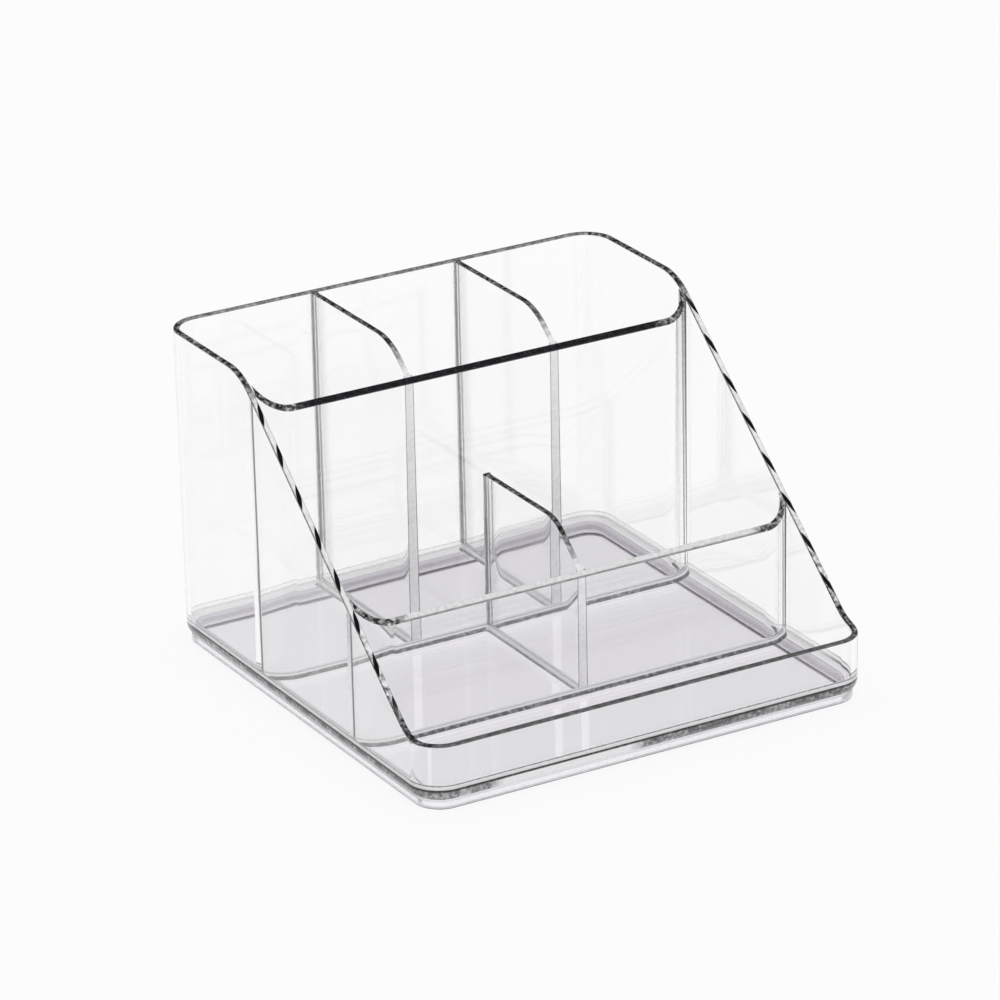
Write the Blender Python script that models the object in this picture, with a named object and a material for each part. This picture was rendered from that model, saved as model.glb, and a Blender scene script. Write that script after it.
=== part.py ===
"""Clear makeup organizer tray with six open pockets.

Eight clear pieces are bonded together: a ring wall with a rim that slopes down to a low front
lip, a floor plate seated on the ring's ledge, a foot ring under it, two cross walls whose ends
curl back into the sides, two rear dividers and one lower front divider. The cross walls and
dividers stand with a tongue in a groove of the floor.

Metres, +X right, +Y to the back, +Z up. The origin is the middle of the face it rests on.
"""
import math

import bmesh
import bpy

# Overall size
TRAY_WIDTH = 0.235
TRAY_DEPTH = 0.240
BACK_HEIGHT = 0.157
LIP_HEIGHT = 0.032
CORNER_RADIUS = 0.016

# The side profile that every rim follows: flat at the back, a straight slope, a flat lip
REAR_FLAT = 0.0755
LIP_FLAT = 0.018
SLOPE_BEND = 0.031
LIP_BEND = 0.024

# Walls
SHELL_WALL = 0.0030
CROSS_WALL = 0.0024
DIVIDER_WALL = 0.0026
DRAFT = math.radians(0.25)
RIM_ROUND = 0.0008
FOOT_FILLET = 0.003
END_FILLET = 0.0016
FEATHER = 0.0004

# Pockets
REAR_POCKET_DEPTH = 0.0886
MIDDLE_POCKET_DEPTH = 0.0841
POCKET_CORNER = 0.0154
FRONT_DIVIDER_HEIGHT = 0.088
FRONT_DIVIDER_BEND = 0.022

# Base
FOOT_HEIGHT = 0.0040
FOOT_INSET = 0.0028
FOOT_WIDTH = 0.0050
EDGE_RADIUS = 0.0050
LEDGE_THICKNESS = 0.0022
LEDGE_REACH = 0.0090
FLOOR_THICKNESS = 0.0025
FOOT_ROUND = 0.0006

# Tongues under the upright walls, which seat in grooves of the floor
TONGUE_WIDTH = 0.0014
TONGUE_DEPTH = 0.0010
TONGUE_TURN = math.radians(40)
TONGUE_SETBACK = 0.0060

# Bond line left between neighbouring pieces
BOND = 0.0003

# Points of a section or path that come closer together than this are left out
LEAST_STEP = 0.0004

# Facets in a quarter turn
CORNER_STEPS = 10
BEND_STEPS = 7
EDGE_STEPS = 5
RIM_STEPS = 3
FILLET_STEPS = 4

SIDE_X = TRAY_WIDTH / 2
SIDE_Y = TRAY_DEPTH / 2
SLOPE_TOP_Y = SIDE_Y - REAR_FLAT
SLOPE_FOOT_Y = -SIDE_Y + LIP_FLAT
SLOPE = (BACK_HEIGHT - LIP_HEIGHT) / (SLOPE_TOP_Y - SLOPE_FOOT_Y)
SLOPE_ANGLE = math.atan(SLOPE)
LEDGE_TOP = FOOT_HEIGHT + LEDGE_THICKNESS
FLOOR_BOTTOM = LEDGE_TOP + BOND
FLOOR_TOP = FLOOR_BOTTOM + FLOOR_THICKNESS
WALL_BOTTOM = FLOOR_TOP + BOND
REAR_WALL_Y = SIDE_Y - SHELL_WALL - REAR_POCKET_DEPTH - CROSS_WALL / 2
FRONT_WALL_Y = REAR_WALL_Y - MIDDLE_POCKET_DEPTH - CROSS_WALL
POCKET_WIDTH = (TRAY_WIDTH - 2 * SHELL_WALL - 2 * DIVIDER_WALL) / 3
DIVIDER_X = (POCKET_WIDTH + DIVIDER_WALL) / 2


def lean(z):
    """Inward lean of the shell's faces at height z, from the moulding draft."""
    return (BACK_HEIGHT - z) * math.tan(DRAFT)


def concave(distance, radius, edge):
    """Spread of a concave quarter-round fillet at a distance from the face it runs into."""
    reach = radius - min(max(distance, edge), radius)
    return radius - math.sqrt(radius * radius - reach * reach)


def rim_height(y, top=BACK_HEIGHT, bend=SLOPE_BEND):
    """Height of the rim at y: flat top, convex bend, slope, concave bend, flat lip."""
    half_angle = math.tan(SLOPE_ANGLE / 2)
    corner_y = SLOPE_FOOT_Y + (top - LIP_HEIGHT) / SLOPE
    top_tangent = bend * half_angle
    lip_tangent = LIP_BEND * half_angle
    if y >= corner_y + top_tangent:
        return top
    if y > corner_y - top_tangent * math.cos(SLOPE_ANGLE):
        run = corner_y + top_tangent - y
        return top - bend + math.sqrt(bend * bend - run * run)
    if y <= SLOPE_FOOT_Y - lip_tangent:
        return LIP_HEIGHT
    if y < SLOPE_FOOT_Y + lip_tangent * math.cos(SLOPE_ANGLE):
        run = y - (SLOPE_FOOT_Y - lip_tangent)
        return LIP_HEIGHT + LIP_BEND - math.sqrt(LIP_BEND * LIP_BEND - run * run)
    return LIP_HEIGHT + (y - SLOPE_FOOT_Y) * SLOPE


def bend_stations(low, high, top=BACK_HEIGHT, bend=SLOPE_BEND):
    """Places along Y, between low and high, where a rim needs a point to follow its bends."""
    half_angle = math.tan(SLOPE_ANGLE / 2)
    corner_y = SLOPE_FOOT_Y + (top - LIP_HEIGHT) / SLOPE
    stations = []
    for step in range(BEND_STEPS + 1):
        turn = SLOPE_ANGLE * step / BEND_STEPS
        stations.append(corner_y + bend * half_angle - bend * math.sin(turn))
        stations.append(SLOPE_FOOT_Y - LIP_BEND * half_angle + LIP_BEND * math.sin(turn))
    return sorted(y for y in stations if low + LEAST_STEP < y < high - LEAST_STEP)


def ring_stations():
    """Stations round the tray, anticlockwise: a point on the outer wall line and its normal."""
    run_x = SIDE_X - CORNER_RADIUS
    run_y = SIDE_Y - CORNER_RADIUS
    sides = bend_stations(-run_y, run_y)
    corners = ((run_x, -run_y, -90, sides), (run_x, run_y, 0, []),
               (-run_x, run_y, 90, sides[::-1]), (-run_x, -run_y, 180, []))
    stations = []
    for centre_x, centre_y, start, side in corners:
        for step in range(CORNER_STEPS + 1):
            turn = math.radians(start + 90 * step / CORNER_STEPS)
            normal_x, normal_y = math.cos(turn), math.sin(turn)
            stations.append((centre_x + CORNER_RADIUS * normal_x,
                             centre_y + CORNER_RADIUS * normal_y, normal_x, normal_y))
        facing = math.copysign(1.0, centre_x)
        stations.extend((facing * SIDE_X, y, facing, 0.0) for y in side)
    return stations


def inset_point(station, inset, z):
    """Point of a station moved inward by an inset, at height z."""
    x, y, normal_x, normal_y = station
    return (x - normal_x * inset, y - normal_y * inset, z)


def rim_point(station, inset, drop):
    """Point of a ring station a given drop below the rim, with the wall's lean."""
    z = BACK_HEIGHT
    for _ in range(3):
        x, y, _z = inset_point(station, inset + lean(z), z)
        z = rim_height(y) - drop
    return (x, y, z)


def rounded_edge():
    """Quarter round from a wall's face up to its rim: pairs of inset and drop."""
    turns = [math.pi / 2 * step / RIM_STEPS for step in range(RIM_STEPS + 1)]
    return [(RIM_ROUND * (1 - math.cos(turn)), RIM_ROUND * (1 - math.sin(turn)))
            for turn in turns]


def rounded_rim(thickness):
    """Rim section over a wall: pairs of inset and drop from one face to the other."""
    edge = rounded_edge()
    return edge + [(thickness - inset, drop) for inset, drop in edge[::-1]]


def finish(name, mesh_data, material):
    """Turn a bmesh into a named object with one material and outward faces."""
    bmesh.ops.recalc_face_normals(mesh_data, faces=mesh_data.faces)
    mesh = bpy.data.meshes.new(name)
    mesh_data.to_mesh(mesh)
    mesh_data.free()
    mesh.shade_smooth()
    mesh.set_sharp_from_angle(angle=math.radians(30))
    mesh.materials.append(material)
    part = bpy.data.objects.new(name, mesh)
    bpy.context.scene.collection.objects.link(part)
    return part


def bridge(mesh_data, lower, upper, closed=True):
    """Join two rows of vertices with the same count by a band of quads."""
    count = len(lower)
    for index in range(count if closed else count - 1):
        following = (index + 1) % count
        mesh_data.faces.new((lower[index], lower[following], upper[following], upper[index]))


def sweep_ring(name, sections, material):
    """Build a closed ring whose section at each station is a closed loop of points."""
    mesh_data = bmesh.new()
    rows = [[mesh_data.verts.new(point) for point in section] for section in sections]
    for index, row in enumerate(rows):
        bridge(mesh_data, row, rows[(index + 1) % len(rows)])
    return finish(name, mesh_data, material)


def stack_plate(name, outlines, material):
    """Build a solid from closed outlines, lowest first, with a flat face at each end."""
    mesh_data = bmesh.new()
    rows = [[mesh_data.verts.new(point) for point in outline] for outline in outlines]
    for lower, upper in zip(rows, rows[1:]):
        bridge(mesh_data, lower, upper)
    mesh_data.faces.new(rows[0])
    mesh_data.faces.new(rows[-1])
    return finish(name, mesh_data, material)


def stack_slab(name, levels, material):
    """Build an upright slab from levels, lowest first, each a pair of matching point rows."""
    mesh_data = bmesh.new()
    rows = [[[mesh_data.verts.new(point) for point in face] for face in level]
            for level in levels]
    for (low_a, low_b), (high_a, high_b) in zip(rows, rows[1:]):
        bridge(mesh_data, low_a, high_a, closed=False)
        bridge(mesh_data, low_b, high_b, closed=False)
        for end in (0, -1):
            mesh_data.faces.new((low_a[end], low_b[end], high_b[end], high_a[end]))
    bridge(mesh_data, *rows[0], closed=False)
    bridge(mesh_data, *rows[-1], closed=False)
    return finish(name, mesh_data, material)


def outer_shell(material):
    """Ring wall with a rounded rim, a rounded bottom edge and a ledge turned in for the floor."""
    edge_centre_z = FOOT_HEIGHT + EDGE_RADIUS
    sections = []
    for station in ring_stations():
        section = [rim_point(station, inset, drop) for inset, drop in rounded_rim(SHELL_WALL)]
        inner_inset = SHELL_WALL + lean(LEDGE_TOP)
        section.append(inset_point(station, inner_inset, LEDGE_TOP))
        section.append(inset_point(station, LEDGE_REACH, LEDGE_TOP))
        section.append(inset_point(station, LEDGE_REACH, FOOT_HEIGHT))
        for step in range(EDGE_STEPS + 1):
            turn = math.pi / 2 * (1 - step / EDGE_STEPS)
            inset = lean(edge_centre_z) + EDGE_RADIUS * (1 - math.cos(turn))
            z = edge_centre_z - EDGE_RADIUS * math.sin(turn)
            section.append(inset_point(station, inset, z))
        sections.append(section)
    return sweep_ring("outer_shell", sections, material)


def floor_plate(material):
    """Flat floor on the shell's ledge, with its edge swept up in a cove against the wall."""
    stations = ring_stations()
    cove_height = concave(FEATHER, FOOT_FILLET, 0.0)

    def outline(spread, z):
        edge = SHELL_WALL + lean(z) + BOND
        return [inset_point(station, edge + spread, z) for station in stations]

    outlines = [outline(0.0, FLOOR_BOTTOM), outline(0.0, FLOOR_TOP + cove_height)]
    for step in range(FILLET_STEPS + 1):
        height = cove_height * (1 - step / FILLET_STEPS) ** 2
        outlines.append(outline(concave(height, FOOT_FILLET, 0.0), FLOOR_TOP + height))
    return stack_plate("floor_plate", outlines, material)


def foot_ring(material):
    """Plain ring under the shell's ledge that the tray stands on."""
    top = FOOT_HEIGHT - BOND
    profile = ((FOOT_INSET, FOOT_ROUND), (FOOT_INSET, top), (FOOT_INSET + FOOT_WIDTH, top),
               (FOOT_INSET + FOOT_WIDTH, FOOT_ROUND), (FOOT_INSET + FOOT_WIDTH - FOOT_ROUND, 0.0),
               (FOOT_INSET + FOOT_ROUND, 0.0))
    sections = [[inset_point(station, inset, z) for inset, z in profile]
                for station in ring_stations()]
    return sweep_ring("foot_ring", sections, material)


def foot_levels():
    """Heights over a wall's own foot where its fillet needs a level, lowest first."""
    curve = [FOOT_FILLET * (step / FILLET_STEPS) ** 2 for step in range(1, FILLET_STEPS + 1)]
    return [0.0, FEATHER] + [height for height in curve if height > FEATHER + LEAST_STEP / 4]


def wall_half(z, wall, rim_z):
    """Half thickness of an upright wall at height z: rim, draft and foot fillet."""
    fillet = concave(z - WALL_BOTTOM, FOOT_FILLET, FEATHER)
    return wall / 2 + max(rim_z - z, 0.0) * math.tan(DRAFT) + fillet


def side_clearance(z):
    """Distance from the shell's inner face that clears the bond line and the floor's cove."""
    height = z - FLOOR_TOP
    cove_height = concave(FEATHER, FOOT_FILLET, 0.0)
    if height > cove_height + BOND:
        return BOND
    return BOND + concave(max(height - BOND, 0.0), FOOT_FILLET, 0.0) + BOND


def clearance_levels():
    """Heights over a wall's own foot where its ends step back over the floor's cove."""
    cove_height = concave(FEATHER, FOOT_FILLET, 0.0)
    return [cove_height, cove_height + BOND / 10]


def cross_wall_level(wall_y, height, drop, inset):
    """One level of a cross wall: its front row and back row, curled back at both ends.

    The level is a height over the foot, or a drop below the rim where height is None.
    The inset thins the wall at the rounded rim.
    """
    rim_z = rim_height(wall_y)
    arc_y = wall_y + CROSS_WALL / 2 + POCKET_CORNER
    front, back = [], []
    for side in (-1, 1):
        for face, row in ((1, front), (-1, back)):
            points = []
            for step in range(CORNER_STEPS + 1):
                z = rim_z if height is None else WALL_BOTTOM + height
                for _ in range(4):
                    half = wall_half(z, CROSS_WALL, rim_z) - inset
                    radius = POCKET_CORNER + CROSS_WALL / 2 + face * half
                    limit = POCKET_CORNER - side_clearance(z) - (FEATHER if face < 0 else 0.0)
                    end = math.asin(min(limit / radius, 1.0))
                    turn = end * step / CORNER_STEPS
                    arc_x = SIDE_X - SHELL_WALL - lean(z) - POCKET_CORNER
                    x = arc_x + radius * math.sin(turn)
                    y = arc_y - radius * math.cos(turn)
                    if height is None:
                        z = rim_height(y) - drop
                points.append((side * x, y, z))
            row.extend(points[::-1] if side < 0 else points)
    return front, back


def cross_tongue_level(wall_y, z, margin):
    """One level of the tongue under a cross wall, or with a margin of the groove round it."""
    arc_x = SIDE_X - SHELL_WALL - lean(z) - POCKET_CORNER
    arc_y = wall_y + CROSS_WALL / 2 + POCKET_CORNER
    middle = POCKET_CORNER + CROSS_WALL / 2
    rows = []
    for face in (1, -1):
        radius = middle + face * (TONGUE_WIDTH / 2 + margin)
        arc = []
        for step in range(CORNER_STEPS + 1):
            turn = (TONGUE_TURN + margin / middle) * step / CORNER_STEPS
            arc.append((arc_x + radius * math.sin(turn), arc_y - radius * math.cos(turn)))
        rows.append([(-x, y, z) for x, y in arc[::-1]] + [(x, y, z) for x, y in arc])
    return rows


def cross_wall(name, wall_y, material):
    """Cross wall from side to side, its ends curled back and feathered into the shell."""
    heights = sorted(set(foot_levels() + clearance_levels()))
    levels = [cross_tongue_level(wall_y, z, 0.0) for z in (FLOOR_TOP - TONGUE_DEPTH, WALL_BOTTOM)]
    levels += [cross_wall_level(wall_y, height, 0.0, 0.0) for height in heights]
    for inset, drop in rounded_edge():
        levels.append(cross_wall_level(wall_y, None, drop, inset))
    return stack_slab(name, levels, material)


def divider_tongue_level(wall_x, back_end, front_end, z, margin, count=2):
    """One level of the tongue under a divider, or with a margin of the groove round it."""
    half = TONGUE_WIDTH / 2 + margin
    low_y = front_end(WALL_BOTTOM) + TONGUE_SETBACK - margin
    high_y = back_end(WALL_BOTTOM) - TONGUE_SETBACK + margin
    places = [low_y + (high_y - low_y) * index / (count - 1) for index in range(count)]
    return [[(wall_x + side * half, y, z) for y in places] for side in (-1, 1)]


def divider(name, wall_x, back_end, front_end, top, bend, material):
    """Divider along Y between two end faces, given as functions of height."""
    heights = sorted(set(foot_levels() + clearance_levels()))
    end_steps = [END_FILLET * (step / FILLET_STEPS) ** 2 for step in range(FILLET_STEPS + 1)]
    low_y = max(front_end(WALL_BOTTOM), front_end(top)) + END_FILLET
    high_y = min(back_end(WALL_BOTTOM), back_end(top)) - END_FILLET
    inner = bend_stations(low_y, high_y, top, bend)

    def level(height, drop, inset):
        left, right = [], []
        places = ([(step, front_end, 1) for step in end_steps]
                  + [(y, None, 0) for y in inner]
                  + [(step, back_end, -1) for step in end_steps[::-1]])
        for place, end, sense in places:
            z = top if height is None else WALL_BOTTOM + height
            for _ in range(4):
                y = place if end is None else end(z) + sense * place
                if height is None:
                    z = rim_height(y, top, bend) - drop
            spread = 0.0 if end is None else concave(place, END_FILLET, FEATHER / 2)
            half = wall_half(z, DIVIDER_WALL, top) - inset + spread
            left.append((wall_x - half, y, z))
            right.append((wall_x + half, y, z))
        return left, right

    count = len(inner) + 2 * len(end_steps)
    levels = [divider_tongue_level(wall_x, back_end, front_end, z, 0.0, count)
              for z in (FLOOR_TOP - TONGUE_DEPTH, WALL_BOTTOM)]
    levels += [level(height, 0.0, 0.0) for height in heights]
    for inset, drop in rounded_edge():
        levels.append(level(None, drop, inset))
    return stack_slab(name, levels, material)


def cut_groove(floor, name, level_at):
    """Cut one groove in the floor, from the level that a function gives at a height."""
    depths = (FLOOR_TOP - TONGUE_DEPTH - BOND, FLOOR_TOP + TONGUE_DEPTH)
    cutter = stack_slab(name, [level_at(z) for z in depths], floor.data.materials[0])
    cutter.hide_render = True
    cutter.display_type = "WIRE"
    groove = floor.modifiers.new(name, "BOOLEAN")
    groove.operation = "DIFFERENCE"
    groove.object = cutter


def shell_back_face(z):
    """Where a divider stops at the shell's back wall."""
    return SIDE_Y - SHELL_WALL - lean(z) - side_clearance(z)


def cross_wall_face(wall_y, sense):
    """Function of height for where a divider stops at a cross wall, behind or in front."""
    rim_z = rim_height(wall_y)

    def face(z):
        return wall_y + sense * (wall_half(z, CROSS_WALL, rim_z) + BOND)

    return face


def clear_plastic(name, colour, roughness):
    """Clear moulded plastic: nearly colourless, smooth, refracting."""
    material = bpy.data.materials.new(name)
    material.use_nodes = True
    shader = material.node_tree.nodes["Principled BSDF"]
    shader.inputs["Base Color"].default_value = (*colour, 1.0)
    shader.inputs["Roughness"].default_value = roughness
    shader.inputs["Metallic"].default_value = 0.0
    shader.inputs["Transmission Weight"].default_value = 1.0
    shader.inputs["IOR"].default_value = 1.49
    return material


def build():
    """Clear the scene and build the eight pieces."""
    for old in list(bpy.data.objects):
        bpy.data.objects.remove(old, do_unlink=True)
    wall_clear = clear_plastic("Clear acrylic walls", (0.97, 0.96, 0.98), 0.03)
    base_clear = clear_plastic("Clear acrylic base", (0.95, 0.94, 0.96), 0.05)
    outer_shell(wall_clear)
    floor = floor_plate(base_clear)
    foot_ring(base_clear)
    for name, wall_y in (("rear_cross_wall", REAR_WALL_Y), ("front_cross_wall", FRONT_WALL_Y)):
        cross_wall(name, wall_y, wall_clear)
        cut_groove(floor, name + "_groove", lambda z: cross_tongue_level(wall_y, z, BOND))
    behind_rear = cross_wall_face(REAR_WALL_Y, 1)
    before_rear = cross_wall_face(REAR_WALL_Y, -1)
    behind_front = cross_wall_face(FRONT_WALL_Y, 1)
    dividers = (("left_rear_divider", -DIVIDER_X, shell_back_face, behind_rear,
                 BACK_HEIGHT, SLOPE_BEND),
                ("right_rear_divider", DIVIDER_X, shell_back_face, behind_rear,
                 BACK_HEIGHT, SLOPE_BEND),
                ("front_divider", 0.0, before_rear, behind_front,
                 FRONT_DIVIDER_HEIGHT, FRONT_DIVIDER_BEND))
    for name, wall_x, back_end, front_end, top, bend in dividers:
        divider(name, wall_x, back_end, front_end, top, bend, wall_clear)
        cut_groove(floor, name + "_groove",
                   lambda z: divider_tongue_level(wall_x, back_end, front_end, z, BOND))


build()
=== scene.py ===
"""Looks of a clear, moulded makeup organizer tray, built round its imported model.

Each CAD node is replaced by one fine surface of the same size and place. Every surface is a section
carried along a path, worked out with numpy as whole arrays, and two attributes say how its edges look.
All lengths are in metres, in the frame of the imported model: +X right, +Y to the back, +Z up.
"""
import logging
import math
from dataclasses import dataclass, field
from enum import Enum
from typing import Callable, Optional, Sequence

import bpy
import numpy as np
from mathutils import Matrix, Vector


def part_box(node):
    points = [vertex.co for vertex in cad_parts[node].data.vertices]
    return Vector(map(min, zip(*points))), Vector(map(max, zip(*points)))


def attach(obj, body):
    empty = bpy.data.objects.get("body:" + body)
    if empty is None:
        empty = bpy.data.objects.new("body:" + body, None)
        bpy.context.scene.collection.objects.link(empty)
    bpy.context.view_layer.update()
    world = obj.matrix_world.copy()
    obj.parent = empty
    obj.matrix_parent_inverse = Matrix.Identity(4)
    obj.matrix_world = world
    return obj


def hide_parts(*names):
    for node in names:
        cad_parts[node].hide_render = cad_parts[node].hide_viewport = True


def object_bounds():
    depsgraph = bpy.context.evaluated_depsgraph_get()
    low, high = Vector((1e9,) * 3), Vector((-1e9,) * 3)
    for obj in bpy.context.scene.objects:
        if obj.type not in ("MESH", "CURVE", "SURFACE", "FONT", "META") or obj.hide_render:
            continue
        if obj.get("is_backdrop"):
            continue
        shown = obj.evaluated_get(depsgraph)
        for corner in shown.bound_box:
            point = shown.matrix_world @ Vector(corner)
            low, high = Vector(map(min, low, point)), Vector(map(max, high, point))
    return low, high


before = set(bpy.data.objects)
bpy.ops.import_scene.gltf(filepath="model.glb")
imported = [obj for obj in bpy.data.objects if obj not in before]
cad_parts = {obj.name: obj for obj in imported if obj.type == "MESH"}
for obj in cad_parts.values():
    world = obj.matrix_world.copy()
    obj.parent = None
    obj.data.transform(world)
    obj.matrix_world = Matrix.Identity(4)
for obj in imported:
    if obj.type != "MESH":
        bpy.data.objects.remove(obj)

LOG = logging.getLogger("organizer_tray")
MM = 0.001

# Distance from a rounding or a mark to the extra row of points that keeps the flat beside it clean
NEAR = 0.3 * MM

# Passes that find the height of points hanging from a rim, on the ring pieces and on the walls
RING_PASSES = 6
WALL_PASSES = 8
SHARP_ANGLE = math.radians(35)


class Slot(Enum):
    """Material slots of the record."""

    WALL = "clear_wall"
    BASE = "clear_base"


def linear(colour: str) -> tuple[float, float, float, float]:
    """Turn an sRGB hex colour into linear light.

    Args:
        colour: Six hex digits after a hash.

    Returns:
        Red, green, blue and an alpha of 1.
    """
    parts = [int(colour[i:i + 2], 16) / 255 for i in (1, 3, 5)]
    red, green, blue = (c / 12.92 if c <= 0.04045 else ((c + 0.055) / 1.055) ** 2.4 for c in parts)
    return red, green, blue, 1.0


def add_node(tree: bpy.types.NodeTree, kind: str, settings: Optional[dict] = None,
             inputs: Optional[dict] = None) -> bpy.types.Node:
    """Add one node with its settings, values and links.

    Args:
        tree: Node tree that gets the node.
        kind: Blender's name of the node type, without ShaderNode in front.
        settings: Attributes of the node.
        inputs: Values or output sockets for its inputs, by input name or number.

    Returns:
        The new node.
    """
    node = tree.nodes.new("ShaderNode" + kind)
    for name, value in (settings or {}).items():
        setattr(node, name, value)
    for name, value in (inputs or {}).items():
        if isinstance(value, bpy.types.NodeSocket):
            tree.links.new(value, node.inputs[name])
        else:
            node.inputs[name].default_value = value
    return node


def clear_tree(owner: bpy.types.ID) -> bpy.types.NodeTree:
    """Give a material or a world an empty node tree."""
    owner.use_nodes = True
    owner.node_tree.nodes.clear()
    return owner.node_tree


def calc(tree: bpy.types.NodeTree, operation: str, *values: object,
         clamp: bool = False) -> bpy.types.NodeSocket:
    """Add a math node with one, two or three values or sockets, and give its result."""
    settings = {"operation": operation, "use_clamp": clamp}
    return add_node(tree, "Math", settings, dict(enumerate(values))).outputs[0]


@dataclass(frozen=True)
class EdgeLook:
    """How an edge looks, as three numbers that are stored for each vertex.

    The share says how far the edge's painted light and shade covers the clear plastic. The tone runs
    from black painted shade at 0 to white painted light at 1, in even steps for the eye. The mottle says
    how far the tone wanders from place to place.
    """

    share: float
    tone: float
    mottle: float = 0.0

    def array(self) -> np.ndarray:
        """The three numbers as an array."""
        return np.array([self.share, self.tone, self.mottle])

    def faded(self) -> np.ndarray:
        """The same look with no share, for the vertices where it fades into the clear plastic."""
        return np.array([0.0, self.tone, self.mottle])


@dataclass(frozen=True)
class ClearPlastic:
    """Clear acrylic (PMMA), moulded in a polished mould, its rims flame-polished and its joints bonded.

    It is colourless in a thin wall and faintly lilac-grey through its thickness. Its edges carry painted
    light and shade. Light that enters a real rim is carried down inside the wall and lost, so a rim
    looks black where the wall below is deep; here that black is painted shade, and the white where a
    rim, seam or end face shows bright refractions is painted light. The attribute "edge_zone" holds
    each vertex's painted edge look. "edge_run" holds the place along the rim, counted in streaks, the
    place across it from -1 to 1, and the share of streaks, which are painted dark refractions. A painted
    edge covers the plastic up to edge_cover, so a little still shines through it. Light on its way to a
    lamp or from one matte surface to another goes straight through, tinted by the shade, which gives
    the soft, pale shadow of clear plastic and lights the painted white edges behind a wall.
    """

    name: str
    tint: str
    shade: str
    # Colours of the painted edges: black for painted shade, white for painted light.
    edge_painted_shade: str = "#161519"
    edge_painted_light: str = "#fefdfe"
    edge_cover: float = 0.94
    roughness: float = 0.0
    ior: float = 1.49
    ripple_length: float = 6 * MM
    ripple_depth: float = 0.02 * MM
    ripple_strength: float = 0.25
    mottle_length: float = 2.2 * MM
    mottle_range: tuple[float, float] = (0.38, 0.62)
    eye_power: float = 2.2
    streak_slant: float = 2.4
    streak_half: float = 0.75
    streak_taper: float = 8.5
    streak_blur: tuple[float, float] = (-0.05, 0.15)

    def material(self) -> bpy.types.Material:
        """Build the material.

        Returns:
            The finished material.
        """
        made = bpy.data.materials.new(self.name)
        tree = clear_tree(made)
        place = add_node(tree, "TexCoord")
        ripple = add_node(tree, "TexNoise", {"noise_dimensions": "3D"}, {
            "Vector": place.outputs["Object"], "Scale": 1 / self.ripple_length, "Detail": 2.0,
            "Roughness": 0.5})
        bump = add_node(tree, "Bump", None, {
            "Strength": self.ripple_strength, "Distance": self.ripple_depth,
            "Height": ripple.outputs["Fac"]})
        zone = add_node(tree, "Attribute", {"attribute_name": "edge_zone"})
        look = add_node(tree, "SeparateXYZ", None, {0: zone.outputs["Vector"]})
        tone = self.tone_nodes(tree, place.outputs["Object"], look)
        edge = add_node(tree, "Mix", {"data_type": "RGBA"}, {
            0: tone, 6: linear(self.edge_painted_shade), 7: linear(self.edge_painted_light)})
        base = add_node(tree, "Mix", {"data_type": "RGBA"}, {
            0: look.outputs["X"], 6: linear(self.tint), 7: edge.outputs[2]})
        clear = calc(tree, "MULTIPLY_ADD", look.outputs["X"], -self.edge_cover, 1.0)
        shader = add_node(tree, "BsdfPrincipled", None, {
            "Base Color": base.outputs[2], "Roughness": self.roughness, "IOR": self.ior,
            "Transmission Weight": clear, "Normal": bump.outputs["Normal"]})
        path = add_node(tree, "LightPath")
        through = add_node(tree, "BsdfTransparent", None, {"Color": linear(self.shade)})
        lamp = add_node(tree, "MixShader", None, {
            0: path.outputs["Is Shadow Ray"], 1: shader.outputs["BSDF"], 2: through.outputs[0]})
        mix = add_node(tree, "MixShader", None, {
            0: path.outputs["Is Diffuse Ray"], 1: lamp.outputs[0], 2: through.outputs[0]})
        add_node(tree, "OutputMaterial", None, {"Surface": mix.outputs[0]})
        return made

    def tone_nodes(self, tree: bpy.types.NodeTree, place: bpy.types.NodeSocket,
                   look: bpy.types.Node) -> bpy.types.NodeSocket:
        """Add the nodes that mottle and streak an edge.

        Noise spread to -1 to 1, times the mottle, is added to the tone. A streak is a painted dark
        refraction, a lens that runs across the rim: its middle lies at slant times q, where q is the place
        within the streak from -0.5 to 0.5, and its half width is the widest half minus taper times q
        squared. The eye power turns even steps for the eye into light.

        Args:
            tree: Node tree that gets the nodes.
            place: Object coordinates.
            look: Node that parts the edge look into share, tone and mottle.

        Returns:
            Socket with the painted light of the edge, from 0 to 1.
        """
        run = add_node(tree, "Attribute", {"attribute_name": "edge_run"})
        along = add_node(tree, "SeparateXYZ", None, {0: run.outputs["Vector"]})
        grain = add_node(tree, "TexNoise", {"noise_dimensions": "3D"}, {
            "Vector": place, "Scale": 1 / self.mottle_length, "Detail": 3.0, "Roughness": 0.6})
        spread = add_node(tree, "MapRange", {"clamp": False}, {
            "Value": grain.outputs["Fac"], "From Min": self.mottle_range[0],
            "From Max": self.mottle_range[1], "To Min": -1.0, "To Max": 1.0})
        mottled = calc(tree, "MULTIPLY_ADD", spread.outputs[0], look.outputs["Z"], look.outputs["Y"],
                       clamp=True)
        part = calc(tree, "FRACT", along.outputs["X"])
        q = calc(tree, "SUBTRACT", part, 0.5)
        off = calc(tree, "MULTIPLY_ADD", q, self.streak_slant, along.outputs["Y"])
        away = calc(tree, "ABSOLUTE", off)
        square = calc(tree, "MULTIPLY", q, q)
        half = calc(tree, "MULTIPLY_ADD", square, -self.streak_taper, self.streak_half)
        inside = calc(tree, "SUBTRACT", half, away)
        lens = add_node(tree, "MapRange", {"interpolation_type": "SMOOTHSTEP"}, {
            "Value": inside, "From Min": self.streak_blur[0], "From Max": self.streak_blur[1],
            "To Min": 0.0, "To Max": 1.0})
        streak = calc(tree, "MULTIPLY", lens.outputs[0], along.outputs["Z"])
        keep = calc(tree, "SUBTRACT", 1.0, streak)
        tone = calc(tree, "MULTIPLY", mottled, keep)
        return calc(tree, "POWER", tone, self.eye_power)


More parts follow.
